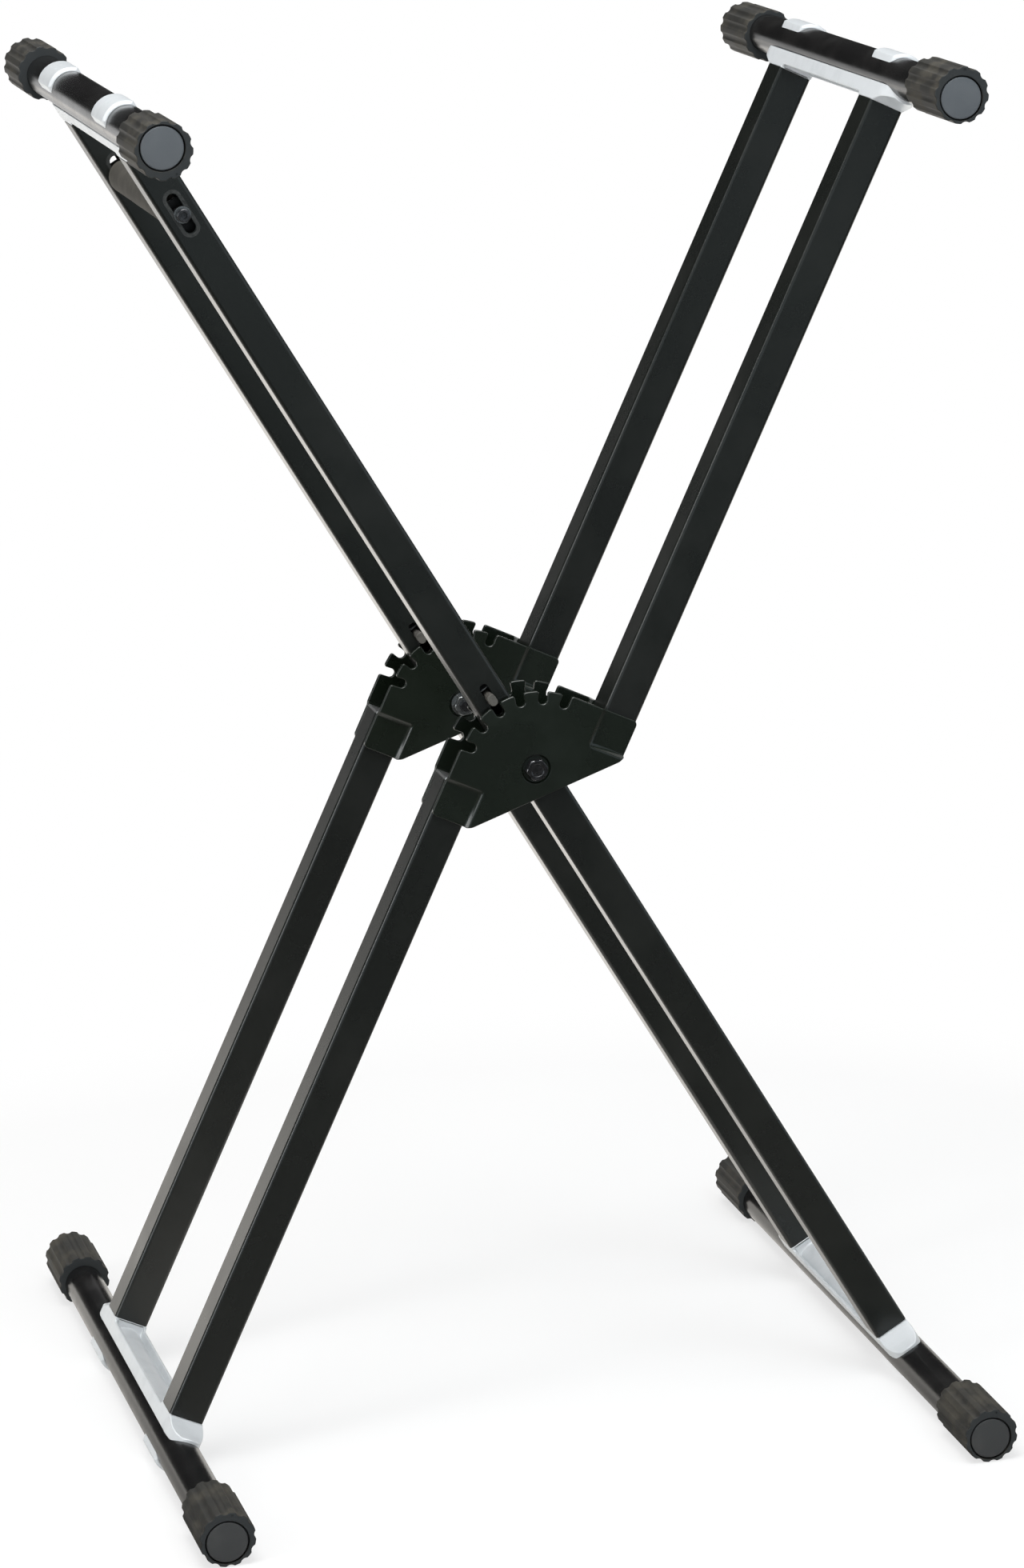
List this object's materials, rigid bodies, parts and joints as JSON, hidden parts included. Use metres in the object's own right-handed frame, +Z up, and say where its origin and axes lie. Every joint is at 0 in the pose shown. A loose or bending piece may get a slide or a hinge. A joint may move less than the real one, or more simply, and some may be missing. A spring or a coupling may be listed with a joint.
{
  "type": "double-braced folding keyboard stand",
  "caption": "Folding X-frame stand for a keyboard, with paired square arms, notched pivot brackets, a pull-grip height lock and levelling end caps.",
  "frame": {"origin": "on the floor, under the middle of the bounding box of the stand as opened", "axes": "+Z up, +Y back along the fold axis and the cross tubes, +X to the right as seen from the front; the outer frame leans right and the inner frame leans left"},
  "size_m": [0.5523, 0.562, 0.9047],
  "materials": {
    "arm_black": "satin black powder coat",
    "cross_tube_black": "gloss black",
    "bracket_black": "satin black powder coat",
    "cast_silver": "satin silver paint on a casting",
    "cap_rubber": "matte black, a little dusty",
    "plug_plastic": "fine-textured grey",
    "grip_foam": "matte foam",
    "nylon": "plain",
    "bolt_black_zinc": "black zinc",
    "zinc": "bright zinc",
    "lock_steel": "plain, a little worn",
    "dark_steel": "dull black",
    "plain_steel": "mill finish"
  },
  "bodies": {
    "outer_frame": {"outer_upper_tube_front": "arm_black", "outer_upper_tube_rear": "arm_black", "outer_lower_tube_front": "arm_black", "outer_lower_tube_rear": "arm_black", "outer_top_cross_tube": "cross_tube_black", "outer_bottom_cross_tube": "cross_tube_black", "outer_top_saddle": "cast_silver", "outer_bottom_saddle": "cast_silver", "outer_top_pad_front": "cast_silver", "outer_top_pad_rear": "cast_silver", "outer_bottom_pad_front": "cast_silver", "outer_bottom_pad_rear": "cast_silver", "outer_arm_inserts": "plain_steel", "outer_tie_bolts": "bolt_black_zinc", "outer_end_plugs": "plug_plastic", "outer_arm_plugs": "plain_steel", "bracket_plate_front_outside": "bracket_black", "bracket_plate_front_inside": "bracket_black", "bracket_plate_rear_inside": "bracket_black", "bracket_plate_rear_outside": "bracket_black", "fold_bolts": "bolt_black_zinc", "fold_nuts": "zinc", "fold_nut_washers": "zinc", "fold_sleeves": "zinc", "slip_washers": "nylon"},
    "inner_frame": {"inner_tube_front": "arm_black", "inner_tube_rear": "arm_black", "inner_top_cross_tube": "cross_tube_black", "inner_bottom_cross_tube": "cross_tube_black", "inner_top_saddle": "cast_silver", "inner_bottom_saddle": "cast_silver", "inner_top_pad_front": "cast_silver", "inner_top_pad_rear": "cast_silver", "inner_bottom_pad_front": "cast_silver", "inner_bottom_pad_rear": "cast_silver", "inner_arm_inserts": "plain_steel", "inner_tie_bolts": "bolt_black_zinc", "inner_end_plugs": "plug_plastic", "spring_stops": "plain_steel", "return_spring_front": "lock_steel", "return_spring_rear": "lock_steel"},
    "release": {"lock_pin_front": "lock_steel", "lock_pin_rear": "lock_steel", "pull_bar_front": "dark_steel", "pull_bar_rear": "dark_steel", "grip_rod": "dark_steel", "grip_sleeve": "grip_foam", "grip_bolts": "bolt_black_zinc", "grip_washers": "zinc", "guide_bushes": "nylon"},
    "cap_top_left_front": {"cap_top_left_front": "cap_rubber"},
    "cap_top_left_rear": {"cap_top_left_rear": "cap_rubber"},
    "cap_top_right_front": {"cap_top_right_front": "cap_rubber"},
    "cap_top_right_rear": {"cap_top_right_rear": "cap_rubber"},
    "cap_bottom_left_front": {"cap_bottom_left_front": "cap_rubber"},
    "cap_bottom_left_rear": {"cap_bottom_left_rear": "cap_rubber"},
    "cap_bottom_right_front": {"cap_bottom_right_front": "cap_rubber"},
    "cap_bottom_right_rear": {"cap_bottom_right_rear": "cap_rubber"}
  },
  "joints": [
    {"name": "fold", "type": "hinge", "parent": "outer_frame", "child": "inner_frame", "pos_m": [-0.00064, 0, 0.45043], "axis": [0, -1, 0], "range_deg": [-55.8, 37.2]},
    {"name": "release_slide", "type": "slide", "parent": "inner_frame", "child": "release", "axis": [-0.4956, 0, 0.8685], "range_m": [-0.0089, 0.0066], "stiffness_N_per_m": 400, "springref_m": -0.02, "deforming": ["return_spring_front", "return_spring_rear"]},
    {"name": "cap_top_left_front_turn", "type": "hinge", "parent": "inner_frame", "child": "cap_top_left_front", "pos_m": [-0.24847, -0.2, 0.88469], "axis": [0, 1, 0], "continuous": true},
    {"name": "cap_top_left_rear_turn", "type": "hinge", "parent": "inner_frame", "child": "cap_top_left_rear", "pos_m": [-0.24847, 0.2, 0.88469], "axis": [0, 1, 0], "continuous": true},
    {"name": "cap_top_right_front_turn", "type": "hinge", "parent": "outer_frame", "child": "cap_top_right_front", "pos_m": [0.25719, -0.2, 0.88469], "axis": [0, 1, 0], "continuous": true},
    {"name": "cap_top_right_rear_turn", "type": "hinge", "parent": "outer_frame", "child": "cap_top_right_rear", "pos_m": [0.25719, 0.2, 0.88469], "axis": [0, 1, 0], "continuous": true},
    {"name": "cap_bottom_left_front_turn", "type": "hinge", "parent": "outer_frame", "child": "cap_bottom_left_front", "pos_m": [-0.25847, -0.2, 0.01616], "axis": [0, 1, 0], "continuous": true},
    {"name": "cap_bottom_left_rear_turn", "type": "hinge", "parent": "outer_frame", "child": "cap_bottom_left_rear", "pos_m": [-0.25847, 0.2, 0.01616], "axis": [0, 1, 0], "continuous": true},
    {"name": "cap_bottom_right_front_turn", "type": "hinge", "parent": "inner_frame", "child": "cap_bottom_right_front", "pos_m": [0.24718, -0.2, 0.01616], "axis": [0, 1, 0], "continuous": true},
    {"name": "cap_bottom_right_rear_turn", "type": "hinge", "parent": "inner_frame", "child": "cap_bottom_right_rear", "pos_m": [0.24718, 0.2, 0.01616], "axis": [0, 1, 0], "continuous": true}
  ]
}
